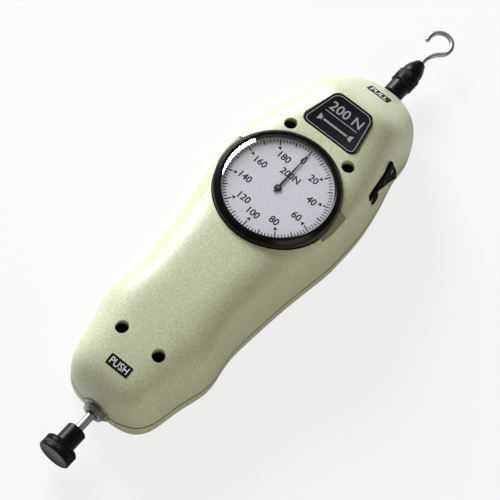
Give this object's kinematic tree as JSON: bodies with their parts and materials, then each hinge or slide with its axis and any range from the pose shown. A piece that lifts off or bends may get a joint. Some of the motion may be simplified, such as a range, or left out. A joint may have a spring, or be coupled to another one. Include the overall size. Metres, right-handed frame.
{
  "type": "force gauge",
  "caption": "Mechanical push and pull force gauge with a round dial, a pad and a hook on one spindle, in a contoured hand-held housing.",
  "frame": {"origin": "centre of the four stand holes on the flat rear face", "axes": "+X to the right seen from the dial, +Y along the spindle to the hook end, +Z out of the dial"},
  "size_m": [0.0678, 0.2778, 0.0505],
  "materials": {
    "housing_paint": "semi-gloss fine-textured enamel on cast aluminium",
    "nameplate_black": "satin screen-printed plate",
    "label_black": "satin printed plate",
    "steel_bright": "turned and polished",
    "spring_steel": "oiled spring steel",
    "black_metal": "black oxide, knurled grips",
    "bezel_black": "gloss black anodised",
    "dial_white": "matt printed dial",
    "crystal_clear": "clear",
    "pointer_black": "matt black",
    "brass": "machined",
    "arbor_steel": "ground",
    "frame_alloy": "milled",
    "lever_black": "moulded"
  },
  "bodies": {
    "case": {"front_cover": "housing_paint", "rear_cover": "housing_paint", "cover_screws": "steel_bright", "cover_inserts": "brass", "stand_inserts": "brass", "nameplate": "nameplate_black", "push_label": "label_black", "pull_label": "label_black", "push_bushing": "black_metal", "pull_bushing": "black_metal", "push_washer": "steel_bright", "push_nut": "steel_bright", "spring_seat": "frame_alloy", "guide_bracket": "frame_alloy", "guide_rod": "steel_bright", "bracket_screws": "steel_bright", "main_spring": "spring_steel", "lower_plate": "frame_alloy", "upper_plate": "frame_alloy", "plate_pillars": "frame_alloy", "pillar_screws": "steel_bright", "plate_screws": "steel_bright", "dial_case": "frame_alloy", "case_spacers": "frame_alloy", "case_screws": "steel_bright", "bezel_spring": "steel_bright", "hairspring": "spring_steel", "hairspring_stud": "steel_bright", "lever_stop": "steel_bright", "pawl_pin": "steel_bright"},
    "spindle_set": {"spindle": "steel_bright", "push_pad": "black_metal", "hook_adapter": "black_metal", "knurled_sleeve": "black_metal", "adapter_nose": "black_metal", "hook": "steel_bright", "spring_collar": "steel_bright", "rack_carrier": "frame_alloy", "carrier_screw": "steel_bright", "rack": "steel_bright"},
    "rack_arbor_set": {"rack_arbor": "arbor_steel", "rack_pinion": "brass", "intermediate_gear": "brass"},
    "pointer_set": {"pointer_arbor": "arbor_steel", "centre_pinion": "brass", "ratchet_wheel": "brass", "hair_collet": "brass", "pointer": "pointer_black"},
    "bezel_set": {"bezel_ring": "bezel_black", "dial_plate": "dial_white", "spacer_ring": "bezel_black", "crystal": "crystal_clear"},
    "lever_set": {"peak_lever": "lever_black", "lever_shaft": "arbor_steel"},
    "pawl_set": {"pawl": "arbor_steel"}
  },
  "joints": [
    {"name": "spindle_slide", "type": "slide", "parent": "case", "child": "spindle_set", "axis": [0, 1, 0], "range_m": [0, 0.008], "stiffness_N_per_m": 25000, "deforming": ["main_spring"]},
    {"name": "rack_arbor_turn", "type": "hinge", "parent": "case", "child": "rack_arbor_set", "pos_m": [-0.0144, 0.015, 0.02], "axis": [0, 0, 1], "range_deg": [-1, 181]},
    {"name": "pointer_turn", "type": "hinge", "parent": "case", "child": "pointer_set", "pos_m": [0, 0.015, 0.03], "axis": [0, 0, 1], "range_deg": [-361, 1], "deforming": ["hairspring"]},
    {"name": "bezel_turn", "type": "hinge", "parent": "case", "child": "bezel_set", "pos_m": [0, 0.015, 0.045], "axis": [0, 0, 1], "continuous": true},
    {"name": "peak_lever_turn", "type": "hinge", "parent": "case", "child": "lever_set", "pos_m": [0.0297, 0.055, 0.0322], "axis": [0.9633, 0.2048, 0.1736], "range_deg": [-8, 0]},
    {"name": "pawl_turn", "type": "hinge", "parent": "case", "child": "pawl_set", "pos_m": [0.009, 0.052, 0.0319], "axis": [0, 0, 1], "range_deg": [-4, 0.2]}
  ],
  "couplings": [
    {"joint": "rack_arbor_turn", "follows": "spindle_slide", "rad_per_m": 392.7},
    {"joint": "pointer_turn", "follows": "spindle_slide", "rad_per_m": -785.4},
    {"joint": "pawl_turn", "follows": "peak_lever_turn", "ratio": 0.476}
  ]
}
